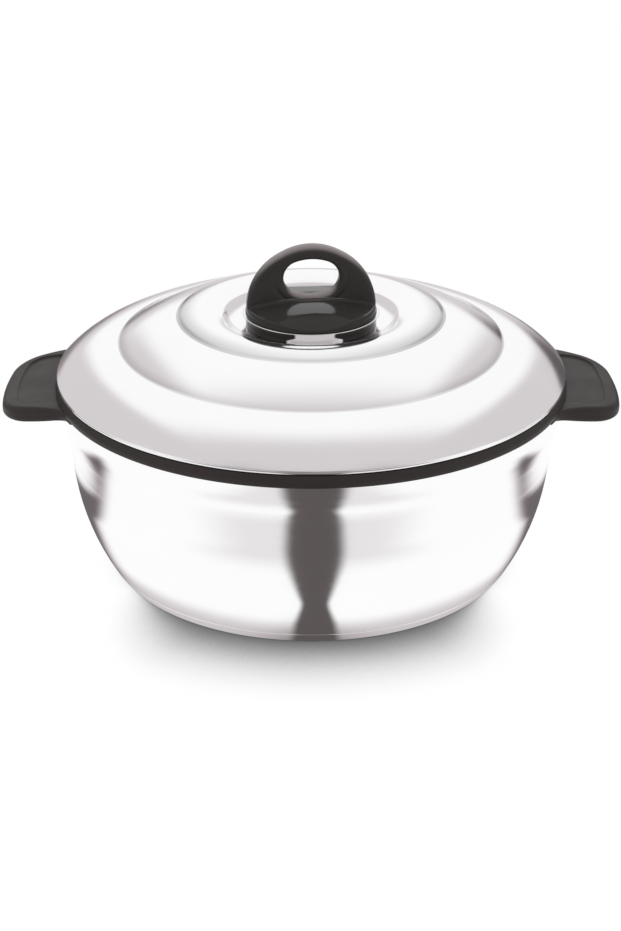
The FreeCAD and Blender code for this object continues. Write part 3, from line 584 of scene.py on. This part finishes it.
def makeGrip(name, s, side):
    top = lambda x: heightAt(x, s["topIn"], s["topOut"], -s["topBend"])
    under = lambda x: heightAt(x, s["underIn"], s["underOut"], s["underBend"])
    runs = gripPlan(s)
    sideCount, endCount = len(runs[0]), len(runs[1])
    bm = bmesh.new()

    def put(p, z):
        return bm.verts.new((side * p.x * mm, p.y * mm, z * mm))

    rings = []
    for turn in quarter(s["underSteps"]):  # under edge
        line = insetRuns(runs, s["underEdge"] * (1 - math.sin(turn)))
        rings.append([put(p, under(p.x) + s["underEdge"] * (1 - math.cos(turn))) for p in line])
    outside = insetRuns(runs, 0.0)
    for share in s["wallShares"]:  # side wall
        rings.append([put(p, (under(p.x) + s["underEdge"]) * (1 - share)
                          + (top(p.x) - s["topEdge"]) * share) for p in outside])
    for turn in quarter(s["topSteps"]):  # top edge
        line = insetRuns(runs, s["topEdge"] * (1 - math.cos(turn)))
        rings.append([put(p, top(p.x) - s["topEdge"] * (1 - math.sin(turn))) for p in line])
    topLine = insetRuns(runs, s["topEdge"] + s["topMargin"])
    rings.append([put(p, top(p.x)) for p in topLine])
    panel = panelPlan(s)
    rim = insetRuns(panel, s["panelFall"][0][0])
    halfWay = [a.lerp(b, 0.5) for a, b in zip(topLine, rim)]
    rings.append([put(p, top(p.x)) for p in halfWay])
    lastInset, lastDrop = s["panelFall"][-1]
    for inset, drop in s["panelFall"]:
        line = insetRuns(panel, inset)
        rings.append([put(p, top(p.x) - drop * s["panelDepth"] / lastDrop) for p in line])
    for low, high in zip(rings, rings[1:]):
        for i in range(len(low) - 1):
            bm.faces.new((low[i], low[i + 1], high[i + 1], high[i]))

    def fill(edge, line, height):
        rows = patchRows(line, sideCount, endCount)
        net = []
        for i, row in enumerate(rows):
            cells = []
            for k, p in enumerate(row):
                if k == 0:
                    cells.append(edge[i])
                elif k == endCount - 1:
                    cells.append(edge[len(edge) - 1 - i])
                elif i == sideCount - 1:
                    cells.append(edge[sideCount - 1 + k])
                else:
                    cells.append(put(p, height(p.x)))
            net.append(cells)
        for i in range(sideCount - 1):
            for k in range(endCount - 1):
                bm.faces.new((net[i][k], net[i][k + 1], net[i + 1][k + 1], net[i + 1][k]))
        return net[0]

    bottom = fill(rings[0], insetRuns(runs, s["underEdge"]), under)
    inner = fill(rings[-1], insetRuns(panel, lastInset), lambda x: top(x) - s["panelDepth"])
    for k in range(endCount - 1):
        bm.faces.new((bottom[k], bottom[k + 1], inner[k + 1], inner[k]))
    bm.faces.new([ring[0] for ring in rings])
    bm.faces.new([ring[-1] for ring in rings])
    return finishMesh(name, bm, "base", [], collarPlastic)


makeCollar(collarSizes)
makeGrip("gripRight", gripSizes, 1)
makeGrip("gripLeft", gripSizes, -1)
print("collar and grips made")


# lid

lidSizes = dict(rim=135.0, base=105.3, lip=1.3, sheet=0.6, outerBend=51.0, outerCrease=(101.6, 123.4),
                middleBend=94.0, innerCrease=(70.1, 136.9), edgeBend=15.0, shoulder=(66.2, 138.85),
                topBend=26.0, recess=(46.0, 136.8), recessBend=14.0, floor=(38.2, 131.8), creaseSoft=1.1,
                hole=30.0, bead=0.95, beadGap=0.02, beadTurn=range(-200, 41, 20),
                hem=(0.25, 0.75), hemInside=(0.6, 0.5), steps=288)
panSizes = dict(radius=117.2, bend=4.0, brim=12.0, sheet=0.6, ringTop=107.8, low=97.0, hole=9.0, steps=192)
sealSizes = dict(inner=117.2, outer=134.35, low=105.3, high=107.8, grooveIn=121.0, grooveOut=125.0,
                 grooveDeep=1.4, gap=0.02, wall=0.9, taper=3.0, steps=192)
gasketSizes = dict(gap=0.02, corner=0.35, beadSide=0.2, dip=0.4, dipSide=0.1, steps=192)


def makeLidCover(s):  # three cushioned steps and a rolled bead at the edge
    t, soft = s["sheet"], s["creaseSoft"]
    down = lambda p: (p[0], p[1] - t)
    bead, centre = s["bead"], (s["rim"] - s["bead"], s["base"] + s["bead"] + s["beadGap"])
    roll = [(centre[0] + bead * math.cos(a), centre[1] + bead * math.sin(a))
            for a in map(math.radians, s["beadTurn"])]
    return spunPiece("lidCover", roll + [
        (s["rim"] - s["hem"][0], s["base"] + s["lip"] + s["hem"][1], 0.2, s["outerBend"]),
        (*s["outerCrease"], soft, s["middleBend"]),
        (*s["innerCrease"], soft, s["edgeBend"]),
        (*s["shoulder"], 1.5, s["topBend"]),
        (*s["recess"], 1.2, -s["recessBend"]),
        (*s["floor"], 1.0),
        (s["hole"], s["floor"][1], 0.1),
        (s["hole"], s["floor"][1] - t, 0.1),
        (*down(s["floor"]), 0.5, s["recessBend"]),
        (*down(s["recess"]), 0.5, -s["topBend"]),
        (*down(s["shoulder"]), 0.5, -s["edgeBend"]),
        (*down(s["innerCrease"]), 0.5, -s["middleBend"]),
        (*down(s["outerCrease"]), 0.5, -s["outerBend"]),
        (s["rim"] - t - s["hemInside"][0], s["base"] + s["lip"] + s["hemInside"][1], 0.2),
    ], "lid", ["lid_outer_shell"], lidSteel, s["steps"])


def makeLidPan(s):
    t, low, high = s["sheet"], s["low"], s["ringTop"]
    return spunPiece("lidPan", [
        (s["hole"], low, 0.1),
        (s["radius"] - s["bend"], low, 0.8, s["bend"]),
        (s["radius"], low + s["bend"], 0.8),
        (s["radius"], high, 0.1),
        (s["radius"] + s["brim"], high, 0.1),
        (s["radius"] + s["brim"], high + t, 0.1),
        (s["radius"] - t, high + t, 0.1),
        (s["radius"] - t, low + s["bend"], 0.5, -(s["bend"] - t)),
        (s["radius"] - s["bend"], low + t, 0.5),
        (s["hole"], low + t, 0.1),
    ], "lid", ["lid_inner_shell"], linerSteel, s["steps"])


def makeSealRing(s):
    low, high, deep = s["low"], s["high"], s["low"] + s["grooveDeep"]
    return spunPiece("sealRing", [
        (s["inner"] + s["gap"], low, 0.3),
        (s["grooveIn"], low, 0.15),
        (s["grooveIn"], deep, 0.05),
        (s["grooveOut"], deep, 0.05),
        (s["grooveOut"], low, 0.15),
        (s["outer"], low, 0.4),
        (s["outer"], low + s["wall"], 0.2),
        (s["outer"] - s["taper"], high, 0.2),
        (s["inner"] + s["gap"], high, 0.2),
    ], "lid", ["lid_rim_ring"], sealPlastic, s["steps"])


def makeGasket(s, ring):  # flat silicone band with two low beads on its face
    low, deep = ring["low"], ring["low"] + ring["grooveDeep"]
    inner, outer = ring["grooveIn"] + s["gap"], ring["grooveOut"] - s["gap"]
    third = (outer - inner) / 3
    return spunPiece("lidGasket", [
        (inner, low + s["corner"], 0.2),
        (inner + s["corner"], low + s["gap"], 0.25),
        (inner + third - s["beadSide"], low + s["gap"], 0.25),
        (inner + third + s["dipSide"], low + s["dip"], 0.2),
        (outer - third - s["dipSide"], low + s["dip"], 0.2),
        (outer - third + s["beadSide"], low + s["gap"], 0.25),
        (outer - s["corner"], low + s["gap"], 0.25),
        (outer, low + s["corner"], 0.2),
        (outer, deep, 0.1),
        (inner, deep, 0.1),
    ], "lid", ["lid_gasket"], gasketSilicone, s["steps"])


makeLidCover(lidSizes)
makeLidPan(panSizes)
makeSealRing(sealSizes)
makeGasket(gasketSizes, sealSizes)
makePlug("lidPlug", plugSizes, panSizes["low"], "lid", "lid_port_plug")
print("lid made")


# cup and knob

cupSizes = dict(radius=34.5, floor=131.8, high=137.8, lip=1.7, sheet=0.6, gap=0.01, steps=160)
discSizes = dict(inside=33.7, low=132.4, seat=138.4, radius=34.6, edge=2.6, bevel=1.0, flange=0.8,
                 step=0.35, dome=7.4, domeBend=150.0, thumbStart=20.6, thumbHigh=5.95, thumbLow=1.3,
                 thumbRound=0.35, steps=160)
loopSizes = dict(seat=138.4, foot=34.1, footHeight=4.4, low=2.6, shoulder=15.5, shoulderHeight=32.4,
                 sideBend=34.2, topBend=31.0, half=4.75, outerRound=3.0, crownRound=4.6, crownDeep=3.5,
                 crownSteps=9, over=(1.3, 0.15), under=(0.5, 1.4), underRound=0.8,
                 fillet=1.5, filletEnd=32.4, filletSteps=48, filletSink=0.05, filletRoot=(0.4, 0.5),
                 holeRound=2.2, holeWidth=14.6, holeHeight=10.1, holeEnd=9.2, holeCentre=19.2, roundSteps=6,
                 grooveRoom=3.6, faceLeast=0.3, faceSteps=4, between=(0.6, 0.5), rays=176,
                 groove=((0.25, 0.0), (0.7, 0.16), (1.2, 0.5), (1.7, 0.62), (2.2, 0.5), (2.7, 0.16),
                         (3.2, 0.0)))
lidTurn = math.radians(5.0)


def makeCup(s):
    r, t, low = s["radius"], s["sheet"], s["floor"] + s["gap"]
    return spunPiece("knobCup", [
        (0, low),
        (r, low, 0.5),
        (r, s["high"], 0.4),
        (r + s["lip"], s["high"], 0.3),
        (r + s["lip"], s["high"] + t, 0.3),
        (r - t, s["high"] + t, 0.3),
        (r - t, s["floor"] + t, 0.4),
        (0, s["floor"] + t),
    ], "lid", ["knob_base_ring"], cupChrome, s["steps"], closed=False)


def makeDisc(s):  # domed disc with a flat for the thumb in front of the loop and one behind it
    bm = bmesh.new()
    seat = s["seat"]
    line = softLine([
        (0, s["low"]),
        (s["inside"], s["low"], 0.3),
        (s["inside"], seat, 0.05),
        (s["radius"], seat, 0.25),
        (s["radius"], seat + s["flange"], 0.2),
        (s["radius"] - s["step"], seat + s["flange"] + s["step"], 0.2),
        (s["radius"] - s["step"], seat + s["edge"], 0.5),
        (s["radius"] - s["bevel"], seat + s["edge"] + s["bevel"], 0.5, s["domeBend"]),
        (0, seat + s["dome"]),
    ], closed=False, bendStep=0.8)
    addSpun(bm, line, s["steps"], closed=False)
    fall = (s["thumbHigh"] - s["thumbLow"]) / (s["radius"] - s["thumbStart"])
    for side in (-1, 1):
        through = Vector((0, side * s["thumbStart"], seat + s["thumbHigh"])) * mm
        normal = Vector((0, side * fall, 1)).normalized()
        cut = bmesh.ops.bisect_plane(bm, geom=bm.verts[:] + bm.edges[:] + bm.faces[:], dist=1e-7,
                                     plane_co=through, plane_no=normal, clear_outer=True)
        edges = [g for g in cut["geom_cut"] if isinstance(g, bmesh.types.BMEdge)]
        made = bmesh.ops.contextual_create(bm, geom=edges)["faces"]
        rim = [e for f in made for e in f.edges]
        bmesh.ops.bevel(bm, geom=rim, offset=s["thumbRound"] * mm, segments=3, affect="EDGES",
                        profile=0.5, clamp_overlap=True)
    bmesh.ops.rotate(bm, verts=bm.verts, cent=(0, 0, 0), matrix=Matrix.Rotation(lidTurn, 3, "Z"))
    return finishMesh("knobDisc", bm, "lid", ["knob"], knobPlastic)


def crossing(line, centre, direction):  # how far a ray goes from the centre to a closed line
    best = None
    side = Vector((-direction.y, direction.x))
    for a, b in zip(line, line[1:] + line[:1]):
        low, high = (a - centre).dot(side), (b - centre).dot(side)
        if low * high <= 0 and low != high:
            p = a.lerp(b, low / (low - high))
            reach = (p - centre).dot(direction)
            if reach > 0 and (best is None or reach > best):
                best = reach
    return best


def ovalHole(s):
    inset, excess = s["holeWidth"] - s["holeEnd"], s["holeHeight"] - s["holeEnd"]
    drop = (inset ** 2 - excess ** 2) / (2 * excess)
    flat = s["holeHeight"] + drop
    share = flat / (flat - s["holeEnd"])
    across, away, mid = inset * share, drop * share - drop, s["seat"] + s["holeCentre"]
    return softLine([(across, mid - away, 0, s["holeEnd"]), (across, mid + away, 0, flat),
                     (-across, mid + away, 0, s["holeEnd"]), (-across, mid - away, 0, flat)])


def eased(value):
    value = max(0.0, min(1.0, value))
    return value * value * (3 - 2 * value)


def addFillet(bm, s, disc, side):  # hollow strip along the foot of the loop's face
    r, half, steps = s["fillet"], s["half"], s["filletSteps"]
    rings = []
    for k in range(steps + 1):
        x = s["filletEnd"] * (2 * k / steps - 1)
        reach = disc["domeBend"] - math.sqrt(disc["domeBend"] ** 2 - x * x - half * half)
        low = disc["seat"] + disc["dome"] - reach
        line = [(half + r * (1 - math.cos(t)), low + r * (1 - math.sin(t)) - s["filletSink"])
                for t in quarter(s["roundSteps"])]
        line.append((half - s["filletRoot"][0], low - s["filletRoot"][1]))
        rings.append([bm.verts.new((x * mm, side * y * mm, z * mm)) for y, z in line])
    joinRings(bm, zip(rings, rings[1:]))
    bm.faces.new(rings[0])
    bm.faces.new(rings[-1])


def makeLoop(s):
    seat = s["seat"]
    outline = softLine([
        (s["foot"], seat + s["low"]),
        (s["foot"], seat + s["footHeight"], 0, s["sideBend"]),
        (s["shoulder"], seat + s["shoulderHeight"], 1.5, s["topBend"]),
        (-s["shoulder"], seat + s["shoulderHeight"], 1.5, s["sideBend"]),
        (-s["foot"], seat + s["footHeight"]),
        (-s["foot"], seat + s["low"]),
    ], bendStep=1.5)
    hole = ovalHole(s)
    centre = Vector((0, seat + s["holeCentre"]))
    bm = bmesh.new()
    columns = []
    for k in range(s["rays"]):
        angle = 2 * math.pi * k / s["rays"]
        direction = Vector((math.cos(angle), math.sin(angle)))
        inner, outer = crossing(hole, centre, direction), crossing(outline, centre, direction)
        low = eased(s["under"][0] - s["under"][1] * math.sin(angle))  # 1 under the hole, 0 over it
        high = eased(s["over"][0] * math.sin(angle) - s["over"][1])  # 1 over the hole, 0 beside it
        r, half = s["holeRound"] + s["underRound"] * low, s["half"]
        room = outer - inner - r - s["faceLeast"]
        wide = min(s["outerRound"] + (s["crownRound"] - s["outerRound"]) * high, room)
        deep = s["outerRound"] + (s["crownDeep"] - s["outerRound"]) * high
        section = [(inner, 0.0), (inner, (half - r) * s["between"][0]), (inner, half - r)]
        for turn in quarter(s["roundSteps"])[1:]:
            section.append((inner + r * (1 - math.cos(turn)), half - r + r * math.sin(turn)))
        scale = max(0.0, min(1.0, (outer - wide - inner - r) / s["grooveRoom"]))
        for reach, depth in s["groove"]:
            section.append((inner + r + reach * scale, half - depth * low))
        start = section[-1][0]
        for i in range(1, s["faceSteps"]):
            section.append((start + (outer - wide - start) * i / s["faceSteps"], half))
        for turn in quarter(s["crownSteps"]):
            section.append((outer - wide * (1 - math.sin(turn)), half - deep * (1 - math.cos(turn))))
        section.append((outer, (half - deep) * s["between"][1]))
        section.append((outer, 0.0))
        front = [(centre + direction * d, -y) for d, y in section]
        back = [(centre + direction * d, y) for d, y in section[1:-1]][::-1]
        columns.append([bm.verts.new((p.x * mm, y * mm, p.y * mm)) for p, y in front + back])
    joinRings(bm, zip(columns, columns[1:] + columns[:1]))
    for side in (-1, 1):
        addFillet(bm, s, discSizes, side)
    bmesh.ops.rotate(bm, verts=bm.verts, cent=(0, 0, 0), matrix=Matrix.Rotation(lidTurn, 3, "Z"))
    return finishMesh("knobLoop", bm, "lid", [], loopPlastic)


makeCup(cupSizes)
makeDisc(discSizes)
makeLoop(loopSizes)
print("cup and knob made")


# nodes kept from the frame

foamLook = dict(rough=0.9, cells=700.0, clouds=60.0, dark=(0.72, 0.58, 0.30), pale=(0.85, 0.74, 0.45),
                bump=(0.5, 0.0004))
metalLook = dict(fine=1800.0, clouds=200.0, cloudTone=0.9, roughSpan=(0.8, 1.3), bump=(0.1, 0.0001))


def cellFoam(look):
    finish = Finish("cellFoam", Roughness=look["rough"])
    cells = finish.add("ShaderNodeTexVoronoi")
    finish.feed(cells, Vector=finish.place, Scale=look["cells"])
    clouds = finish.spread(finish.noise(look["clouds"]))
    finish.into("Base Color", finish.mix(clouds, toned(look["dark"]), toned(look["pale"])))
    finish.bump(cells.outputs["Distance"], *look["bump"])
    return finish.material


def machinedMetal(name, tint, rough):
    look = metalLook
    finish = Finish(name, Metallic=1.0)
    fine = finish.noise(look["fine"])
    clouds = finish.spread(finish.noise(look["clouds"]))
    finish.into("Base Color", finish.mix(clouds, toned(tint, look["cloudTone"]), toned(tint)))
    finish.roughen(fine, rough, look["roughSpan"])
    finish.bump(fine, *look["bump"])
    return finish.material


keptNodes = {
    "bowl_foam": cellFoam(foamLook),
    "lid_foam": cellFoam(foamLook),
    "knob_screws": machinedMetal("zincScrew", (0.62, 0.62, 0.64), 0.32),
    "knob_washers": machinedMetal("zincWasher", (0.60, 0.60, 0.62), 0.36),
    "knob_inserts": machinedMetal("turnedBrass", (0.78, 0.60, 0.30), 0.28),
}
for nodeName, material in keptNodes.items():
    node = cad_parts[nodeName]
    node.data.materials.clear()
    node.data.materials.append(material)
print("kept nodes finished")


# floor, world and camera

floorSizes = dict(half=0.9, drop=0.0002, cells=12, paint=(0.8, 0.8, 0.8, 1), rough=0.9,
                  reach=0.07, samples=16, keepAngle=30.0, clearAngle=25.0, clearPower=1.6,
                  clear=0.32, clearMost=0.45,
                  tones=((0.0, 0.05), (0.36, 0.21), (0.49, 0.36), (0.67, 0.80), (0.84, 1.0)))
mirrorSizes = dict(contact=(0.1115, 0.1245), contactShade=0.58,
                   farFrom=(0.168, 0.208), farWide=(0.165, 0.06), farShade=0.79,
                   slopeFrom=0.108, slope=0.75, slopeEdge=(-0.065, -0.010),
                   lean=0.645, patchFrom=(0.130, 0.165), patchBack=(-0.045, 0.012),
                   sideTo=(0.240, 0.190), sideBack=(0.135, 0.085), sideShade=0.13,
                   backFrom=(0.20, 0.30), backWide=(0.17, 0.25), backShade=0.2,
                   gap=0.0093, gapFrom=0.137, gapSpread=0.372, gapLessFrom=0.19, gapLess=0.12,
                   gapFootFrom=0.132, gapFootTo=0.119, gapFoot=0.2, gapTurn=0.02,
                   gapEdge=(1.25, 0.75), gapFront=(-0.02, -0.06), paintedWedgeTint=(0.107, 0.093, 0.093))
skySizes = dict(grey=0.645, boxWide=(0.49, 0.30), boxLean=0.25, boxLeanFrom=0.3, boxTop=(-0.20, 0.62),
                boxFoot=(0.02, 0.20), sideFrom=(76.0, 100.0), sideTo=(150.0, 132.0), sideTop=(46.0, 36.0),
                frontFrom=(112.0, 140.0), frontTop=(70.0, 50.0), frontShade=0.76,
                frontLow=(36.0, 27.0), frontLowShade=0.62,
                leftFrom=(-4.0, -13.0), leftLow=(4.0, -6.0), leftShade=0.4,
                rightFrom=(9.0, 24.0), rightTo=(47.0, 35.0), rightLow=(11.0, 3.0), rightShade=0.16)


def glowWhere(finish, seen, colour, elsewhere):  # glows in its own shade for the wanted rays
    glow = finish.feed(finish.add("ShaderNodeEmission"), Color=colour)
    join = finish.add("ShaderNodeMixShader")
    for socket, value in zip(join.inputs, (seen, elsewhere, glow.outputs[0])):
        finish.tree.links.new(value, socket)
    return join.outputs[0]


def stagePiece(name, bm, finish, surface):
    finish.tree.links.new(surface, finish.tree.nodes["Material Output"].inputs["Surface"])
    mesh = bpy.data.meshes.new(name)
    bm.to_mesh(mesh)
    bm.free()
    mesh.materials.append(finish.material)
    piece = bpy.data.objects.new(name, mesh)
    scene.collection.objects.link(piece)
    return piece


def floorShade(finish, s, near):  # contact shade, strong in front of the foot and faint beside it
    x, y = finish.parts(finish.place)[:2]
    past = finish.past(finish.degrees(finish.size(x), finish.size(y)), s["keepAngle"])
    clear = finish.maths("POWER", finish.over(past, s["clearAngle"]), s["clearPower"])
    clear = finish.maths("MINIMUM", finish.times(clear, s["clear"]), s["clearMost"])
    ramp = finish.add("ShaderNodeValToRGB")
    finish.tree.links.new(finish.plus(near, clear), ramp.inputs[0])
    stops = ramp.color_ramp.elements
    while len(stops) < len(s["tones"]):
        stops.new(0.5)
    for stop, (place, tone) in zip(stops, s["tones"]):
        stop.position = place
        stop.color = (tone, tone, tone, 1)
    return ramp.outputs[0]


def floorPaintedForMirrors(finish, s):  # what the bowl mirrors, seen by glossy rays only: a bright table with painted shade round the foot, beside and behind the bowl, and a painted dark wedge in front
    x, y = finish.parts(finish.place)[:2]
    wide, reach = finish.size(x), finish.reach(x, y)
    shade = finish.ease(reach, *s["contact"], s["contactShade"], 1.0)
    shade = finish.shaded(shade, s["farShade"], finish.ease(reach, *s["farFrom"]),
                          finish.ease(wide, *s["farWide"]))
    slope = finish.minus(y, finish.times(finish.minus(wide, s["slopeFrom"]), s["slope"]))
    across = finish.plus(wide, finish.times(y, s["lean"]))
    patch = finish.times(finish.ease(across, *s["patchFrom"]), finish.ease(y, *s["patchBack"]))
    side = finish.larger(finish.ease(slope, *s["slopeEdge"]), patch)
    shade = finish.shaded(shade, s["sideShade"], side, finish.ease(across, *s["sideTo"]),
                          finish.ease(y, *s["sideBack"]))
    shade = finish.shaded(shade, s["backShade"], finish.ease(y, *s["backFrom"]),
                          finish.ease(wide, *s["backWide"]))
    # painted reflection: a dark wedge on the floor in front, seen only by glossy rays, that the bowl
    # mirrors
    grow = finish.times(finish.past(reach, s["gapFrom"]), s["gapSpread"])
    less = finish.times(finish.past(reach, s["gapLessFrom"]), s["gapLess"])
    near = finish.minus(s["gapFootFrom"], finish.larger(reach, s["gapFootTo"]))
    foot = finish.times(finish.larger(near, 0.0), s["gapFoot"])
    half = finish.plus(finish.minus(finish.plus(grow, foot), less), s["gap"])
    off = finish.size(finish.minus(x, finish.times(reach, s["gapTurn"])))
    share = finish.times(finish.ease(finish.over(off, half), *s["gapEdge"]), finish.ease(y, *s["gapFront"]))
    return finish.mix(share, finish.warm(shade), toned(s["paintedWedgeTint"]))


def makeFloor(s, mirror):
    bm = bmesh.new()
    bmesh.ops.create_grid(bm, x_segments=s["cells"], y_segments=s["cells"], size=s["half"])
    finish = Finish("studioFloor", Roughness=s["rough"])
    finish.shader.inputs["Base Color"].default_value = s["paint"]
    near = finish.feed(finish.add("ShaderNodeAmbientOcclusion", samples=s["samples"]), Distance=s["reach"])
    seen = floorShade(finish, s, near.outputs["AO"])
    path = finish.add("ShaderNodeLightPath")
    surface = glowWhere(finish, path.outputs["Is Camera Ray"], seen, finish.shader.outputs[0])
    surface = glowWhere(finish, path.outputs["Is Glossy Ray"], floorPaintedForMirrors(finish, mirror), surface)
    floor = stagePiece("studioFloor", bm, finish, surface)
    floor.location = (0, 0, -s["drop"])


def makeSky(s):  # what polished metal mirrors: a wide soft box behind and above, in a grey room
    world = bpy.data.worlds.new("studioWorld")
    scene.world = world
    world.use_nodes = True
    sky = NodeSet(world.node_tree)
    x, y, z = sky.parts(sky.add("ShaderNodeTexCoord").outputs["Generated"])
    up = sky.maths("DEGREES", sky.maths("ARCSINE", z))
    turn = sky.degrees(x, y)
    side = sky.size(turn)
    wide = sky.minus(sky.size(x), sky.times(sky.minus(z, s["boxLeanFrom"]), s["boxLean"]))
    box = sky.times(sky.ease(wide, *s["boxWide"]), sky.ease(y, *s["boxTop"]), sky.ease(z, *s["boxFoot"]))
    flank = sky.times(sky.ease(side, *s["sideFrom"]), sky.ease(side, *s["sideTo"]),
                      sky.ease(up, *s["sideTop"]))
    front = sky.ease(side, *s["frontFrom"])
    shade = sky.ease(sky.larger(box, flank), 0.0, 1.0, s["grey"], 1.0)
    shade = sky.shaded(shade, s["frontShade"], front, sky.ease(up, *s["frontTop"]))
    shade = sky.shaded(shade, s["frontLowShade"], front, sky.ease(up, *s["frontLow"]))
    shade = sky.shaded(shade, s["leftShade"], sky.ease(turn, *s["leftFrom"]), sky.ease(up, *s["leftLow"]))
    shade = sky.shaded(shade, s["rightShade"], sky.ease(turn, *s["rightFrom"]),
                       sky.ease(turn, *s["rightTo"]), sky.ease(up, *s["rightLow"]))
    glossy = sky.add("ShaderNodeLightPath").outputs["Is Glossy Ray"]
    back = sky.tree.nodes["Background"]
    sky.feed(back, Color=sky.mix(glossy, (1, 1, 1, 1), sky.warm(shade)), Strength=1.0)


makeFloor(floorSizes, mirrorSizes)
makeSky(skySizes)

cameraSizes = dict(place=(-0.00027, -0.9982, 0.5104), tilt=24.84, focal=2016.0, frame=931.0, sensor=36.0,
                   clip=0.01)
camera = bpy.data.objects.new("studioCamera", bpy.data.cameras.new("studioCamera"))
camera.data.sensor_width = cameraSizes["sensor"]
camera.data.lens = cameraSizes["focal"] / cameraSizes["frame"] * cameraSizes["sensor"]
camera.data.clip_start = cameraSizes["clip"]
camera.location = cameraSizes["place"]
camera.rotation_euler = (math.radians(90 - cameraSizes["tilt"]), 0, 0)
scene.collection.objects.link(camera)
scene.camera = camera
scene.view_settings.view_transform = "Standard"
print("floor, world and camera set")
